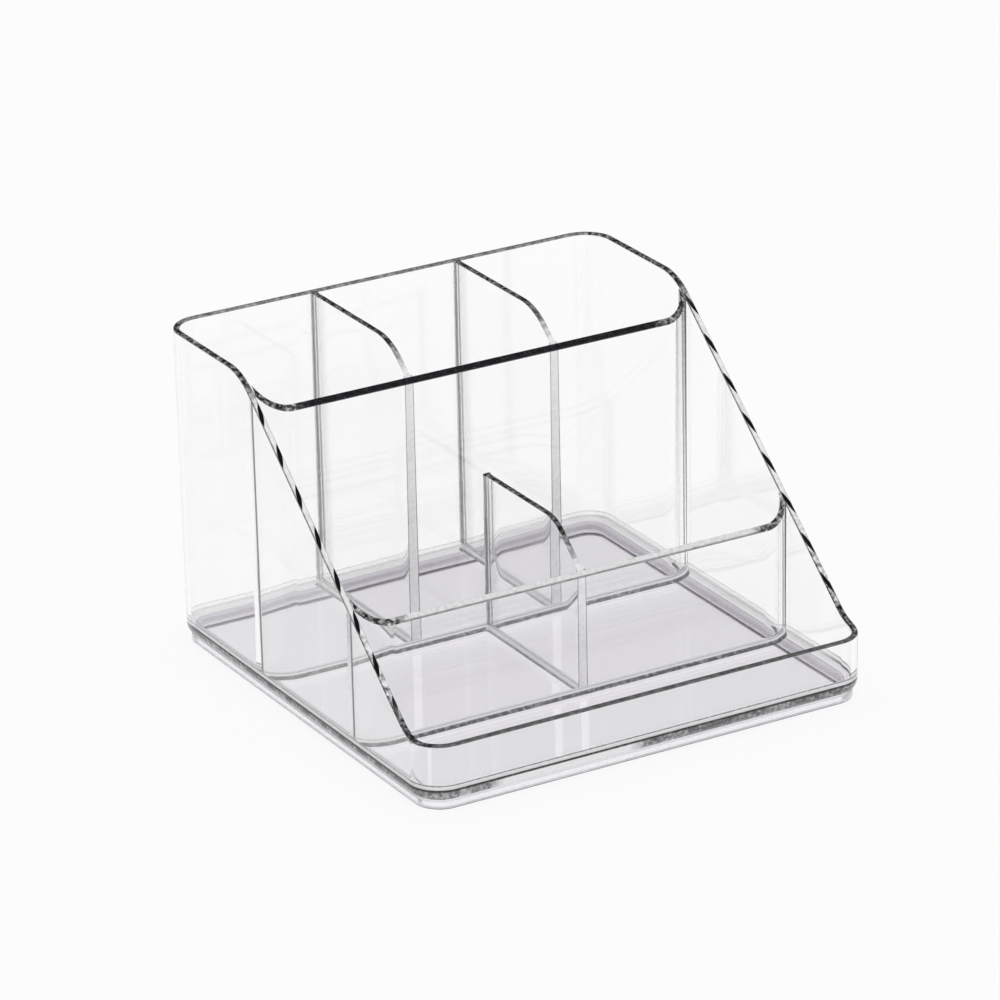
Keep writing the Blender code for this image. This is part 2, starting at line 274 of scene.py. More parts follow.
@dataclass(frozen=True)
class RimProfile:
    """Side profile that every rim of the tray follows.

    It is flat along the back, turns over a convex bend into a straight slope, and turns through a
    concave bend into the low flat lip. Heights depend on the depth coordinate y alone.
    """

    back_height: float = 157 * MM
    lip_height: float = 32 * MM
    slope_top_y: float = 44.5 * MM
    slope_foot_y: float = -102 * MM
    top_bend: float = 31 * MM
    lip_bend: float = 24 * MM

    @property
    def slope(self) -> float:
        """Rise of the slope for each metre of depth."""
        return (self.back_height - self.lip_height) / (self.slope_top_y - self.slope_foot_y)

    def corner_y(self, top: float) -> float:
        """Depth at which the slope would reach a given top height."""
        return self.slope_foot_y + (top - self.lip_height) / self.slope

    def height(self, y: np.ndarray, top: float, bend: float) -> np.ndarray:
        """Height of a rim: the slope's line, a circular arc of radius bend under the flat top, and
        one of radius lip_bend over the flat lip.

        Args:
            y: Depth coordinates.
            top: Height of the flat top.
            bend: Radius of the convex bend below the top.

        Returns:
            Heights, one for each y.
        """
        angle = math.atan(self.slope)
        top_end = self.corner_y(top) + bend * math.tan(angle / 2)
        lip_end = self.slope_foot_y - self.lip_bend * math.tan(angle / 2)
        line = self.lip_height + (y - self.slope_foot_y) * self.slope
        over = np.clip(top_end - y, 0, bend * math.sin(angle))
        under = np.clip(y - lip_end, 0, self.lip_bend * math.sin(angle))
        convex = top - bend + np.sqrt(bend ** 2 - over ** 2)
        concave = self.lip_height + self.lip_bend - np.sqrt(self.lip_bend ** 2 - under ** 2)
        result = np.where(y > top_end - bend * math.sin(angle), convex, line)
        return np.where(y < lip_end + self.lip_bend * math.sin(angle), concave, result)

    def stations(self, low: float, high: float, top: float, bend: float, steps: int,
                 spacing: float) -> np.ndarray:
        """Depths between two ends that follow the bends finely and the straights at a spacing.

        Args:
            low: Lower end, left out.
            high: Upper end, left out.
            top: Height of the flat top.
            bend: Radius of the convex bend.
            steps: Steps in each bend.
            spacing: Largest step along the straights.

        Returns:
            Sorted depths.
        """
        angle = math.atan(self.slope)
        turn = np.linspace(0, angle, steps + 1)
        top_end = self.corner_y(top) + bend * math.tan(angle / 2)
        lip_end = self.slope_foot_y - self.lip_bend * math.tan(angle / 2)
        count = max(2, int((high - low) / spacing))
        every = np.concatenate([top_end - bend * np.sin(turn), lip_end + self.lip_bend * np.sin(turn),
                                np.linspace(low, high, count + 1)])
        inside = np.sort(every[(every > low + NEAR) & (every < high - NEAR)])
        keep = np.concatenate([[True], np.diff(inside) > NEAR / 2])
        return inside[keep]


@dataclass(frozen=True)
class TraySizes:
    """Driving sizes that the pieces share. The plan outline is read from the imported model."""

    half_width: float
    half_depth: float
    corner_radius: float = 16 * MM
    shell_wall: float = 3.0 * MM
    cross_wall: float = 2.4 * MM
    divider_wall: float = 2.6 * MM
    draft: float = math.radians(0.25)
    foot_height: float = 4.0 * MM
    ledge_thickness: float = 2.2 * MM
    ledge_reach: float = 9.0 * MM
    edge_radius: float = 5.0 * MM
    floor_thickness: float = 2.5 * MM
    foot_fillet: float = 3.0 * MM
    bond: float = 0.3 * MM
    feather: float = 0.4 * MM
    cove_reach: float = 2 * MM
    rim: RimProfile = field(default_factory=RimProfile)

    @property
    def floor_bottom(self) -> float:
        """Height of the floor plate's underside."""
        return self.foot_height + self.ledge_thickness + self.bond

    @property
    def floor_top(self) -> float:
        """Height of the floor that things stand on."""
        return self.floor_bottom + self.floor_thickness

    @property
    def wall_bottom(self) -> float:
        """Height at which the upright walls start."""
        return self.floor_top + self.bond

    def lean(self, z: np.ndarray) -> np.ndarray:
        """Inward lean of the shell's faces at height z, from the moulding draft."""
        return (self.rim.back_height - z) * math.tan(self.draft)


def quarter(radius: float, steps: int, start: float, stop: float) -> tuple[np.ndarray, np.ndarray]:
    """Cosine and sine parts of an arc, both times the radius, from one angle to another in degrees."""
    turn = np.radians(np.linspace(start, stop, steps + 1))
    return radius * np.cos(turn), radius * np.sin(turn)


def fillet(distance: np.ndarray, radius: float) -> np.ndarray:
    """Spread of a concave quarter-round fillet at a distance from the face it runs into.

    Args:
        distance: Distances from that face.
        radius: Radius of the fillet.

    Returns:
        r - sqrt(r^2 - (r - d)^2), and 0 past the radius.
    """
    reach = radius - np.clip(distance, 0, radius)
    return radius - np.sqrt(radius ** 2 - reach ** 2)


def mesh_piece(name: str, points: np.ndarray, closed_path: bool,
               closed_section: bool = True) -> bpy.types.Object:
    """Make a smooth object at the origin from sections along a path.

    Args:
        name: Name of the piece.
        points: Array of sections by section points by 3.
        closed_path: True for a ring, False for a bar with a face at each end.
        closed_section: True for a loop, False for an open line with a face along each of its ends.

    Returns:
        The new object, with outward normals.
    """
    count, size = points.shape[:2]
    index = np.arange(count * size).reshape(count, size)
    following = np.roll(index, -1, axis=0)
    quads = np.stack([index, np.roll(index, -1, axis=1), np.roll(following, -1, axis=1), following],
                     axis=-1)
    quads = quads[:count - (not closed_path), :size - (not closed_section)]
    faces = quads.reshape(-1, 4).tolist()
    if not closed_path:
        faces += [index[0][::-1].tolist(), index[-1].tolist()]
    if not closed_section:
        faces += [index[:, 0].tolist(), index[::-1, -1].tolist()]
    mesh = bpy.data.meshes.new(name)
    mesh.from_pydata(points.reshape(-1, 3), [], faces)
    mesh.validate()
    mesh.update()
    triangles = mesh.loop_triangles
    mesh.calc_loop_triangles()
    co = np.empty(len(mesh.vertices) * 3)
    mesh.vertices.foreach_get("co", co)
    corner = np.empty(len(triangles) * 3, np.int32)
    triangles.foreach_get("vertices", corner)
    a, b, c = (co.reshape(-1, 3)[corner.reshape(-1, 3)[:, i]] for i in range(3))
    if np.einsum("ij,ij->i", a, np.cross(b, c)).sum() < 0:
        mesh.flip_normals()
    mesh.shade_smooth()
    mesh.set_sharp_from_angle(angle=SHARP_ANGLE)
    piece = bpy.data.objects.new(name, mesh)
    bpy.context.scene.collection.objects.link(piece)
    return piece


def mark(piece: bpy.types.Object, name: str, grid: np.ndarray) -> None:
    """Store three numbers for each vertex.

    Args:
        piece: The object.
        name: Name of the attribute.
        grid: Array of sections by section points by 3, in the order of the piece's vertices.
    """
    layer = piece.data.attributes.new(name, "FLOAT_VECTOR", "POINT")
    layer.data.foreach_set("vector", grid.astype(np.float32).ravel())


def ramp(value: np.ndarray, low: float, high: float) -> np.ndarray:
    """Share that climbs from 0 at one value to 1 at another."""
    return np.clip((value - low) / (high - low), 0, 1)


def between(value: np.ndarray, low: float, high: float, soft: float) -> np.ndarray:
    """Share from 0 to 1 of being between two values, with soft ends of a given length."""
    return ramp(value, low, low + soft) * ramp(-value, -high, soft - high)


@dataclass
class Piece:
    """One visible piece: what it stands for and how it is dressed."""

    sizes: TraySizes
    node: str
    slot: Slot

    def dress(self, piece: bpy.types.Object, finish: bpy.types.Material) -> bpy.types.Object:
        """Give a piece its material and its body, hide the CAD part it stands for, and log a line about it.

        Args:
            piece: The object to dress.
            finish: Its material.

        Returns:
            The same object.
        """
        piece.data.materials.append(finish)
        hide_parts(self.node)
        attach(piece, "root")
        LOG.info("%s stands for %s: %d vertices", piece.name, self.node, len(piece.data.vertices))
        return piece


@dataclass
class RingPiece(Piece):
    """Base of the pieces that run round the tray's rounded plan outline.

    Bond lines are the depths at which the cross walls run out on the sides, and front marks are the
    places along the front and back where the base changes its look. The outline gets points beside them.
    """

    corner_steps: int = 28
    bend_steps: int = 14
    side_spacing: float = 8 * MM
    bond_lines: tuple[float, ...] = ()
    bond_rows: tuple[float, ...] = (-1.0 * MM, -0.7 * MM, 0.7 * MM, 1.0 * MM)
    front_marks: tuple[float, ...] = ()

    def outline(self) -> tuple[np.ndarray, np.ndarray]:
        """Points of the plan outline, anticlockwise, and their outward normals.

        The corners are arcs of the corner radius and the sides are straight, with a point wherever the
        rim profile bends.

        Returns:
            Two arrays of N by 2.
        """
        s, r = self.sizes, self.sizes.corner_radius
        run_x, run_y = s.half_width - r, s.half_depth - r
        side = s.rim.stations(-run_y, run_y, s.rim.back_height, s.rim.top_bend, self.bend_steps,
                              self.side_spacing)
        side = np.sort(np.append(side, np.add.outer(self.bond_lines, self.bond_rows)))
        across = np.linspace(-run_x, run_x, int(2 * run_x / self.side_spacing) + 1)[1:-1]
        across = np.sort(np.append(across, np.add.outer(self.front_marks, (-NEAR, NEAR))))
        places, normals = [], []
        rows = ((run_x, -run_y, -90, side, 1), (run_x, run_y, 0, across, 1),
                (-run_x, run_y, 90, side, -1), (-run_x, -run_y, 180, across, -1))
        for number, (cx, cy, start, straight, sense) in enumerate(rows):
            cos, sin = quarter(1.0, self.corner_steps, start, start + 90)
            places.append(np.stack([cx + r * cos, cy + r * sin], axis=1))
            normals.append(np.stack([cos, sin], axis=1))
            on_side = number % 2 == 0
            half = run_y if on_side else run_x
            along = np.sort(np.concatenate([straight, [NEAR - half, half - NEAR]]))
            along = along if number in (0, 3) else along[::-1]
            fixed = np.full_like(along, sense * (s.half_width if on_side else s.half_depth))
            facing = (np.full_like(along, sense), np.zeros_like(along))
            places.append(np.stack((fixed, along) if on_side else (along, fixed), axis=1))
            normals.append(np.stack(facing if on_side else facing[::-1], axis=1))
        return np.concatenate(places), np.concatenate(normals)

    def sweep(self, inset: np.ndarray, level: np.ndarray, hangs: np.ndarray,
              leans: np.ndarray) -> np.ndarray:
        """Carry a section round the outline.

        A hanging point's height follows the rim at its place, which is found in a few passes.

        Args:
            inset: How far each section point lies inside the outline.
            level: Its height, or its drop below the rim where it hangs.
            hangs: True where level is a drop below the rim.
            leans: True where the point follows the leaning faces.

        Returns:
            Array of stations by section points by 3.
        """
        s = self.sizes
        places, normals = self.outline()
        z = np.broadcast_to(np.where(hangs, s.rim.back_height, level), (len(places), len(inset))).copy()
        for _ in range(RING_PASSES):
            depth = inset + np.where(leans, s.lean(z), 0.0)
            x = places[:, :1] - normals[:, :1] * depth
            y = places[:, 1:] - normals[:, 1:] * depth
            rim = s.rim.height(y, s.rim.back_height, s.rim.top_bend)
            z = np.where(hangs, rim - level, z)
        return np.stack([x, y, z], axis=-1)


@dataclass
class OuterShell(RingPiece):
    """Ring wall with a rounded rim, a rounded bottom edge and the ledge that carries the floor.

    Each zone is a pair of distances in from the outline: where a side's look starts and where it is
    full. The looks on the rim and the seam are painted light and shade for their refractions. The
    seam's rows are a height in mm and the share, tone and mottle there, up the outer face where foot,
    ledge and floor lie behind it.
    """

    rim_round: float = 0.8 * MM
    rim_steps: int = 8
    edge_steps: int = 24
    inner_row: float = 4 * MM
    side_zone: tuple[float, float] = (8 * MM, 6 * MM)
    back_zone: tuple[float, float] = (6 * MM, 4 * MM)
    lip_zone: tuple[float, float] = (8 * MM, 5 * MM)
    # Painted rim looks: dark tones are painted shade and light tones painted light, for the refractions in
    # the rim.
    side_rim: EdgeLook = EdgeLook(1.0, 0.32, 0.26)
    back_rim: EdgeLook = EdgeLook(1.0, 0.52, 0.1)
    lip_rim: EdgeLook = EdgeLook(1.0, 0.38, 0.06)
    slope_ends: tuple[float, float] = (-98 * MM, 42 * MM)
    slope_blend: float = 12 * MM
    slope_rim: EdgeLook = EdgeLook(1.0, 0.97, 0.05)
    low_slope_rim: EdgeLook = EdgeLook(1.0, 0.85, 0.25)
    low_slope: tuple[float, float] = (55 * MM, 80 * MM)
    outline_start: tuple[float, float] = (0.62, 0.92)
    outline_dark: float = 0.5
    # Painted dark refraction streaks across the slope rim.
    streak_spacing: float = 22 * MM
    streak_shift: tuple[float, float] = (0.0, 0.48)
    bond_width: float = 1.8 * MM
    bond_line: EdgeLook = EdgeLook(0.95, 0.3)
    # The ledge's top and end face are painted white light, seen through the floor.
    ledge_painted_light: EdgeLook = EdgeLook(0.92, 0.99, 0.02)
    ledge_edge: EdgeLook = EdgeLook(0.92, 0.9, 0.02)
    # Painted shade and light of the seam: grey and black bands and a white line, by height.
    seam: tuple[tuple[float, ...], ...] = (
        (4.0, 0.7, 0.5, 0.2), (4.4, 0.92, 0.42, 0.2), (9.3, 0.92, 0.4, 0.2), (9.7, 1.0, 0.12, 0.1),
        (10.2, 1.0, 0.12, 0.1), (10.5, 0.7, 1.0, 0.02), (11.8, 0.6, 1.0, 0.02), (12.1, 0.9, 0.42, 0.1),
        (12.5, 0.9, 0.42, 0.1), (12.9, 0.0, 1.0, 0.0))
    band_top: float = 9.5 * MM
    band_wave: float = 0.08
    white_blend: float = 0.6 * MM
    far_side: tuple[float, float] = (100 * MM, 117 * MM)
    far_back: tuple[float, float] = (100 * MM, 115 * MM)
    far_front: tuple[float, float] = (-100 * MM, -80 * MM)
    far_loss: float = 0.65

    def build(self, finish: bpy.types.Material) -> bpy.types.Object:
        """Build the shell.

        The section runs up the outer face, over the rim, down the inner face, round the ledge and back
        along the bottom edge, which is a quarter circle.

        Args:
            finish: Material of the walls.

        Returns:
            The dressed piece.
        """
        s, r = self.sizes, self.rim_round
        ledge_top = s.foot_height + s.ledge_thickness
        edge_z = s.foot_height + s.edge_radius
        cos, sin = quarter(r, self.rim_steps, 0, 90)
        rim_in = np.concatenate([r - cos, s.shell_wall - r + sin])
        rim_drop = np.concatenate([r - sin, r - cos])
        rows = [(0.0, h * MM, False, True) for h, *_ in self.seam if h * MM > edge_z + NEAR]
        rows += [(0.0, r + NEAR, True, True)]
        rows += [(i, d, True, True) for i, d in zip(rim_in, rim_drop)]
        rows += [(s.shell_wall, r + NEAR, True, True),
                 (s.shell_wall, s.floor_top + self.inner_row, False, True),
                 (s.shell_wall, ledge_top + NEAR, False, True), (s.shell_wall, ledge_top, False, True),
                 (s.ledge_reach - NEAR, ledge_top, False, False), (s.ledge_reach, ledge_top, False, False),
                 (s.ledge_reach, s.foot_height, False, False)]
        cos, sin = quarter(s.edge_radius, self.edge_steps, 90, 0)
        low = float(s.lean(edge_z)) + s.edge_radius
        arc = [(low, s.foot_height, False, False)]
        arc += [(low - c, edge_z - q, False, False) for c, q in zip(cos[1:], sin[1:])]
        inset, level, hangs, leans = (np.array(column) for column in zip(*(rows + arc)))
        points = self.sweep(inset, level, hangs, leans)
        piece = mesh_piece("clear_shell", points, True)
        rim = hangs & (level <= r)
        outside = ((inset <= 0) | (np.arange(len(inset)) >= len(rows))) & ~hangs
        bonded = (inset == s.shell_wall) & ~rim
        ledge_faces = ~hangs & ((level == ledge_top) | (inset == s.ledge_reach))
        middle = points[:, rim].mean(axis=1)
        side = ramp(np.abs(middle[:, 0]), *(s.half_width - reach for reach in self.side_zone))
        lip = (1 - side) * ramp(-middle[:, 1], *(s.half_depth - reach for reach in self.lip_zone))
        slope = side * between(middle[:, 1], *self.slope_ends, self.slope_blend)
        step = np.linalg.norm(np.diff(middle, axis=0, prepend=middle[-1:]), axis=1)
        shift = np.where(middle[:, 0] > 0, self.streak_shift[1], self.streak_shift[0])
        run = np.cumsum(step) / self.streak_spacing + shift
        across = np.clip(2 * inset / s.shell_wall - 1, -1, 1)
        # Painted light and shade on the rim and the seam.
        on_rim = self.rim_looks(middle, side, lip, slope, across)
        on_seam = self.seam_looks(middle, lip, run, np.where(outside, level, 1.0))
        zone = np.where(rim[:, None], on_rim, on_seam)
        near_line = np.abs(middle[:, 1:2] - np.array(self.bond_lines)).min(axis=1) < self.bond_width / 2
        above = points[:, :, 2] > s.floor_top
        zone[bonded & above & (near_line & (side > 0))[:, None]] = self.bond_line.array()
        # Painted white light on the ledge's top and end face.
        zone[:, ledge_faces] = np.where((inset >= s.ledge_reach)[ledge_faces, None], self.ledge_edge.array(),
                                 self.ledge_painted_light.array())
        mark(piece, "edge_zone", zone)
        places = (run[:, None], -across * np.sign(middle[:, :1]), slope[:, None])
        mark(piece, "edge_run", np.stack(np.broadcast_arrays(*places), axis=-1))
        return self.dress(piece, finish)

    def rim_looks(self, middle: np.ndarray, side: np.ndarray, lip: np.ndarray, slope: np.ndarray,
                  across: np.ndarray) -> np.ndarray:
        """Looks of the rim.

        Its tones are painted light and shade for the refractions in the rim. Along the slope it is painted
        white between two grey lines, and more mottled low down. It is painted dark round the rear corners
        and the bends, mid-grey along the back and darker along the lip.

        Args:
            middle: Middle of the rim at each station.
            side: Share of being on a side.
            lip: Share of being on the lip.
            slope: Share of being on the slope.
            across: Place of each section point across the rim, from -1 to 1.

        Returns:
            Array of stations by section points by 3.
        """
        depth = self.sizes.half_depth
        back = (1 - side) * ramp(middle[:, 1], *(depth - reach for reach in self.back_zone))
        level = self.side_rim.array() + np.outer(back, self.back_rim.array() - self.side_rim.array())
        level = level + np.outer(lip, self.lip_rim.array() - self.side_rim.array())
        low = ramp(-middle[:, 1], *self.low_slope)
        sloped = self.slope_rim.array() + np.outer(low, self.low_slope_rim.array() - self.slope_rim.array())
        outline = ramp(np.abs(across), *self.outline_start)
        sloped = sloped[:, None] - self.outline_dark * outline[:, None] * np.array([0.0, 1.0, 0.0])
        share = slope[:, None, None]
        return level[:, None] * (1 - share) + sloped * share

    def seam_looks(self, middle: np.ndarray, lip: np.ndarray, run: np.ndarray,
                   level: np.ndarray) -> np.ndarray:
        """Looks of the seam with the floor: a grey mottled band under a black, a white and a grey line.

        All of it is painted shade and light for the refractions through the thick base. The band's tone
        rises and falls in a slow wave along the run, and two stretches at the front are painted white. The
        painted seam is weaker on the right side and the back.

        Args:
            middle: Middle of the rim at each station.
            lip: Share of being on the lip's side of the tray.
            run: Place along the rim, counted in streaks.
            level: Height of the section points on the outside, and 1 m for all others.

        Returns:
            Array of stations by section points by 3.
        """
        heights, *looks = np.array(self.seam).T
        columns = [np.interp(level / MM, heights, look) for look in looks]
        share, tone, mottle = np.broadcast_arrays(*columns, np.zeros((len(middle), 1)))[:3]
        x, y = middle[:, 0], middle[:, 1]
        first, second, third, last = self.front_marks
        white = between(x, first, second, self.white_blend) + between(x, third, last, self.white_blend)
        band = level < self.band_top
        pale = band * (lip * white)[:, None]
        wave = self.band_wave * (np.sin(run * 2.3) + 0.7 * np.sin(run * 5.1 + 1.0))
        tone = np.where(pale > 0, tone + (1 - tone) * pale, tone + wave[:, None] * band)
        far = np.maximum(ramp(x, *self.far_side), ramp(y, *self.far_back)) * ramp(y, *self.far_front)
        share = share * (1 - self.far_loss * far[:, None])
        return np.stack([share, tone, mottle * (1 - pale)], axis=-1)


@dataclass
class FootRing(RingPiece):
    """Plain ring that the tray stands on, its outer face painted pale light, with a painted dark line of
    shade along its foot.
    """

    inset: float = 2.8 * MM
    width: float = 5.0 * MM
    rounding: float = 0.6 * MM
    steps: int = 5
    # Painted light on the outer face and a painted dark line of shade along the foot.
    line_share: float = 0.8
    outer_face: EdgeLook = EdgeLook(0.5, 1.0, 0.05)
    foot_painted_shade: EdgeLook = EdgeLook(1.0, 0.2, 0.05)

    def build(self, finish: bpy.types.Material) -> bpy.types.Object:
        """Build the ring: a rectangle with rounded lower edges, carried round the outline.

        Args:
            finish: Material of the base.

        Returns:
            The dressed piece.
        """
        s, r = self.sizes, self.rounding
        top = s.foot_height - s.bond
        cos, sin = quarter(r, self.steps, 0, 90)
        inset = np.concatenate([[self.inset], self.inset + r - cos, self.inset + self.width - r + sin,
                                [self.inset + self.width]])
        level = np.concatenate([[top], r - sin, r - cos, [top]])
        plain = np.zeros(len(inset), bool)
        points = self.sweep(inset, level, plain, plain)
        piece = mesh_piece("clear_foot", points, True)
        outside = inset < self.inset + self.width / 2
        looks = np.where(outside[:, None], self.outer_face.array(), self.outer_face.faded())
        looks[outside & (level < self.line_share * r)] = self.foot_painted_shade.array()
        mark(piece, "edge_zone", np.broadcast_to(looks, points.shape))
        return self.dress(piece, finish)


@dataclass
class FloorPlate(RingPiece):
    """Flat floor whose edge sweeps up in a cove against the shell, painted white light, with a painted grey
    line of shade at its foot.
    """

    steps: int = 10
    # Painted light on the cove and a painted grey line of shade at its foot.
    cove: EdgeLook = EdgeLook(0.92, 0.97)
    cove_line: EdgeLook = EdgeLook(0.92, 0.47, 0.1)

    def build(self, finish: bpy.types.Material) -> bpy.types.Object:
        """Build the floor: outlines from the underside up the edge, down the cove and onto the flat.

        The cove's height over the floor falls as the concave quarter round, so that its top is a
        feather's width from the shell.

        Args:
            finish: Material of the base.

        Returns:
            The dressed piece.
        """
        s, r = self.sizes, self.sizes.foot_fillet
        rise = float(fillet(np.array(s.feather), r))
        height = rise * np.linspace(1, 0, self.steps + 1) ** 2
        edge = s.shell_wall + s.bond
        inset = np.concatenate([[edge], [edge], edge + fillet(height, r), [edge + r + NEAR]])
        level = np.concatenate([[s.floor_bottom], [s.floor_top + rise - s.feather],
                                s.floor_top + height, [s.floor_top]])
        plain = np.zeros(len(inset), bool)
        points = self.sweep(inset, level, plain, ~plain)
        piece = mesh_piece("clear_floor", points, True, closed_section=False)
        looks = np.tile(self.cove.array(), (len(inset), 1))
        looks[:2] = self.cove.faded()
        looks[-2] = self.cove_line.array()
        looks[-1] = self.cove_line.faded()
        mark(piece, "edge_zone", np.broadcast_to(looks, points.shape))
        return self.dress(piece, finish)


@dataclass
class Upright(Piece):
    """Base of the walls that stand on the floor: rounded rim, filleted foot, painted shade and light at the
    foot.
    """

    rim_round: float = 0.8 * MM
    rim_steps: int = 8
    foot_steps: int = 8
    spacing: float = 8 * MM
    # Painted shade and light at the foot: a dark line, then white up the fillet, for the refractions there.
    foot_painted_shade: EdgeLook = EdgeLook(0.88, 0.3, 0.24)
    foot_painted_light: EdgeLook = EdgeLook(0.88, 0.98)
    line_height: float = 1.5 * MM

    def section(self) -> tuple[np.ndarray, np.ndarray, np.ndarray, np.ndarray]:
        """Closed section of the wall, from one foot up, over the rim and down to the other foot.

        Returns:
            For each point its face (+1 first, -1 second), its thinning at the rim, its height over the
            foot or drop below the rim, and whether it hangs from the rim.
        """
        r, high = self.rim_round, self.sizes.foot_fillet
        foot = high * np.linspace(0, 1, self.foot_steps + 1) ** 2
        cos, sin = quarter(r, self.rim_steps, 0, 90)
        rows = [(1, 0.0, h, False) for h in foot] + [(1, 0.0, high + NEAR, False), (1, 0.0, r + NEAR, True)]
        rows += [(1, i, d, True) for i, d in zip(r - cos, r - sin)]
        both = rows + [(-face, thin, level, hangs) for face, thin, level, hangs in rows[::-1]]
        face, thin, level, hangs = (np.array(column) for column in zip(*both))
        return face, thin, level, hangs

    def foot_looks(self, level: np.ndarray, hangs: np.ndarray) -> np.ndarray:
        """Painted looks of the section off the rim: a dark line of painted shade, then painted white light
        up the fillet.

        Args:
            level: Height over the foot or drop below the rim of each section point.
            hangs: True where it hangs from the rim, and has no share.

        Returns:
            Array of section points by 3.
        """
        low = (level < self.line_height)[:, None]
        looks = np.where(low, self.foot_painted_shade.array(), self.foot_painted_light.array())
        looks[:, 0] *= ~hangs & (level < self.sizes.foot_fillet)
        return looks


@dataclass(kw_only=True)
class CrossWall(Upright):
    """Wall from side to side whose ends curl back in a quarter turn and climb the sloping rim."""

    wall_y: float
    # Painted rim looks: the rim's tone, the curl's grey and the darker outlines are painted light and shade.
    rim_look: EdgeLook
    curl_look: EdgeLook = EdgeLook(1.0, 0.4, 0.3)
    curl_blend: float = 8 * MM
    outline_start: tuple[float, float] = (0.7, 0.95)
    outline_dark: float = 0.4
    corner: float = 15.4 * MM
    curl_steps: int = 32

    def build(self, name: str, finish: bpy.types.Material) -> bpy.types.Object:
        """Build the wall.

        A path parameter runs along the straight middle and round both quarter turns. At a turn of t,
        a point at radius r from the curl's centre lies at (cx + r sin t, cy - r cos t), and the turn
        ends where the point reaches the shell's leaning inner face. The rim carries painted light and
        shade for its refractions: it changes from the straight part's look to the curls', and is painted
        darker along its two outlines on the straight part.

        Args:
            name: Name of the piece.
            finish: Material of the walls.

        Returns:
            The dressed piece.
        """
        s, profile = self.sizes, self.sizes.rim
        face, thin, level, hangs = self.section()
        top = float(profile.height(np.array(self.wall_y), profile.back_height, profile.top_bend))
        centre_y = self.wall_y + s.cross_wall / 2 + self.corner
        straight = s.half_width - s.shell_wall - self.corner
        share = np.linspace(0, 1, self.curl_steps + 1)[1:]
        middle = np.linspace(-1, 1, int(2 * straight / self.spacing) + 1)
        near_end = 1 - NEAR / straight
        middle = np.sort(np.concatenate([middle, [near_end, -near_end]]))
        side = np.concatenate([-np.ones(len(share)), np.sign(middle), np.ones(len(share))])[:, None]
        share = np.concatenate([share[::-1], np.zeros(len(middle)), share])[:, None]
        middle = np.concatenate([-np.ones(self.curl_steps), middle, np.ones(self.curl_steps)])[:, None]
        z = np.broadcast_to(np.where(hangs, top, s.wall_bottom + level), (len(share), len(face))).copy()
        for _ in range(WALL_PASSES):
            rise = z - s.wall_bottom
            half = (s.cross_wall / 2 + np.clip(top - z, 0, None) * math.tan(s.draft) - thin
                    + fillet(np.maximum(rise, s.feather), s.foot_fillet))
            radius = self.corner + s.cross_wall / 2 + face * half
            limit = self.corner - s.bond - np.where(face < 0, s.feather, 0.0)
            limit = limit - fillet(np.maximum(rise, 0) + s.bond, s.foot_fillet) * (rise < s.cove_reach)
            turn = np.arcsin(np.minimum(limit / radius, 1.0)) * share
            centre_x = s.half_width - s.shell_wall - s.lean(z) - self.corner
            x = np.where(share > 0, side * (centre_x + radius * np.sin(turn)), middle * centre_x)
            y = centre_y - radius * np.cos(turn)
            rim = profile.height(y, profile.back_height, profile.top_bend)
            z = np.where(hangs, rim - level, z)
        piece = mesh_piece(name, np.stack([x, y, z], axis=-1), False)
        outline = ramp(np.abs(face * (1 - thin / (s.cross_wall / 2))), *self.outline_start)
        looks = np.tile(self.rim_look.array(), (len(level), 1))
        looks[:, 1] *= 1 - self.outline_dark * outline
        curl = ramp(np.abs(middle), 1 - self.curl_blend / straight, 1.0)[:, :, None]
        looks = looks * (1 - curl) + self.curl_look.array() * curl
        on_rim = (hangs & (level <= self.rim_round))[:, None]
        mark(piece, "edge_zone", np.where(on_rim, looks, self.foot_looks(level, hangs)))
        return self.dress(piece, finish)


